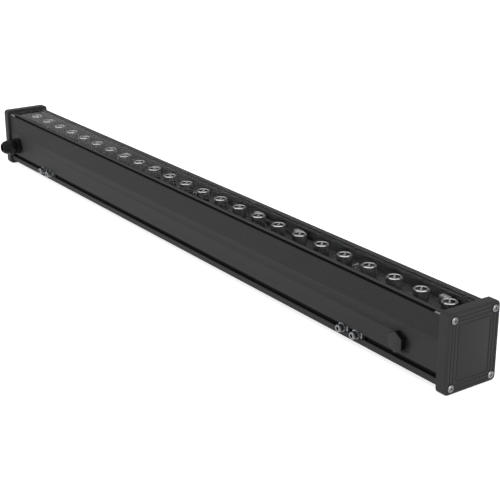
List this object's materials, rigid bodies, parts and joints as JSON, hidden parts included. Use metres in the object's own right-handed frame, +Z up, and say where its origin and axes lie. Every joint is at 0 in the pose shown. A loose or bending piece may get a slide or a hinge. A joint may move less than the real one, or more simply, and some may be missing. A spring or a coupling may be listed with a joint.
{
  "type": "wall washer light",
  "caption": "Long outdoor wall washer light: ribbed body with a row of lenses under glass, end caps, cable gland, vent plug and screws in a T-slot.",
  "frame": {"origin": "middle of the body's flat underside: half way along the length and across the width. The end caps reach 4 mm below it.", "axes": "+X along the body towards the end with the vent plug, -Y out of the front with the cable gland, +Z up, the way the light goes"},
  "size_m": [1.007, 0.0927, 0.085],
  "materials": {
    "body": "fine textured powder coat",
    "cap": "fine textured powder coat",
    "gasket": "matt",
    "cap_screw": "plain stainless",
    "cover_glass": "clear",
    "glass_seal": "matt",
    "led_board": "solder mask",
    "board_screw": "zinc plated",
    "emitter": "silicone over phosphor",
    "lens_holder": "matt moulded",
    "lens": "clear moulded",
    "board_part": "ceramic",
    "connector": "moulded",
    "tray": "mill finish",
    "driver_board": "solder mask",
    "core": "ferrite",
    "winding": "enamelled wire",
    "capacitor": "sleeved can",
    "heat_sink": "mill finish",
    "terminal": "moulded",
    "red_wire": "insulation",
    "black_wire": "insulation",
    "earth_wire": "insulation",
    "lug": "tinned",
    "earth_screw": "plain",
    "gland": "moulded nylon",
    "gland_seal": "matt",
    "gland_claw": "moulded nylon",
    "gland_nut": "moulded nylon",
    "vent": "moulded nylon",
    "vent_cap": "moulded nylon",
    "membrane": "porous film",
    "slot_screw": "plain stainless",
    "spring_washer": "plain stainless",
    "flat_washer": "plain stainless",
    "slot_nut": "zinc plated"
  },
  "bodies": {
    "light": {"housing": "body", "end_cap_left": "cap", "end_cap_right": "cap", "end_gasket_left": "gasket", "end_gasket_right": "gasket", "cap_screws_left": "cap_screw", "cap_screws_right": "cap_screw", "cover_glass": "cover_glass", "glass_seal": "glass_seal", "led_board_left": "led_board", "led_board_middle": "led_board", "led_board_right": "led_board", "board_screws": "board_screw", "led_emitters": "emitter", "lens_holders": "lens_holder", "lenses": "lens", "board_parts": "board_part", "board_connectors": "connector", "driver_tray": "tray", "driver_board": "driver_board", "driver_screws": "board_screw", "transformer_core": "core", "transformer_winding": "winding", "driver_capacitors": "capacitor", "driver_choke": "winding", "driver_heat_sink": "heat_sink", "terminal_block": "terminal", "live_wire": "red_wire", "return_wire": "black_wire", "joining_wires": "black_wire", "earth_wire": "earth_wire", "earth_lug": "lug", "earth_screw": "earth_screw", "gland_body": "gland", "gland_washer": "gland_seal", "gland_locknut": "gland", "gland_seal": "gland_seal", "vent_body": "vent", "vent_cap": "vent_cap", "vent_membrane": "membrane", "vent_washer": "gland_seal", "vent_locknut": "vent"},
    "gland_claw": {"gland_claw": "gland_claw"},
    "gland_nut": {"gland_dome_nut": "gland_nut"},
    "slot_fixing_1": {"slot_screw_1": "slot_screw", "spring_washer_1": "spring_washer", "flat_washer_1": "flat_washer", "slot_nut_1": "slot_nut"},
    "slot_fixing_2": {"slot_screw_2": "slot_screw", "spring_washer_2": "spring_washer", "flat_washer_2": "flat_washer", "slot_nut_2": "slot_nut"},
    "slot_fixing_3": {"slot_screw_3": "slot_screw", "spring_washer_3": "spring_washer", "flat_washer_3": "flat_washer", "slot_nut_3": "slot_nut"},
    "slot_fixing_4": {"slot_screw_4": "slot_screw", "spring_washer_4": "spring_washer", "flat_washer_4": "flat_washer", "slot_nut_4": "slot_nut"}
  },
  "joints": [
    {"name": "gland_nut_travel", "type": "slide", "parent": "light", "child": "gland_claw", "axis": [0, -1, 0], "range_m": [0, 0.003]},
    {"name": "gland_nut_turn", "type": "hinge", "parent": "gland_claw", "child": "gland_nut", "pos_m": [-0.461, -0.045, 0.031], "axis": [0, -1, 0], "range_deg": [0, 720]},
    {"name": "slot_slide_1", "type": "slide", "parent": "light", "child": "slot_fixing_1", "axis": [1, 0, 0], "range_m": [-0.105, 0.0035]},
    {"name": "slot_slide_2", "type": "slide", "parent": "light", "child": "slot_fixing_2", "axis": [1, 0, 0], "range_m": [-0.0035, 0.343]},
    {"name": "slot_slide_3", "type": "slide", "parent": "light", "child": "slot_fixing_3", "axis": [1, 0, 0], "range_m": [-0.335, 0.0035]},
    {"name": "slot_slide_4", "type": "slide", "parent": "light", "child": "slot_fixing_4", "axis": [1, 0, 0], "range_m": [-0.0035, 0.113]}
  ],
  "couplings": [
    {"joint": "gland_nut_travel", "follows": "gland_nut_turn", "m_per_rad": 0.00023873}
  ]
}
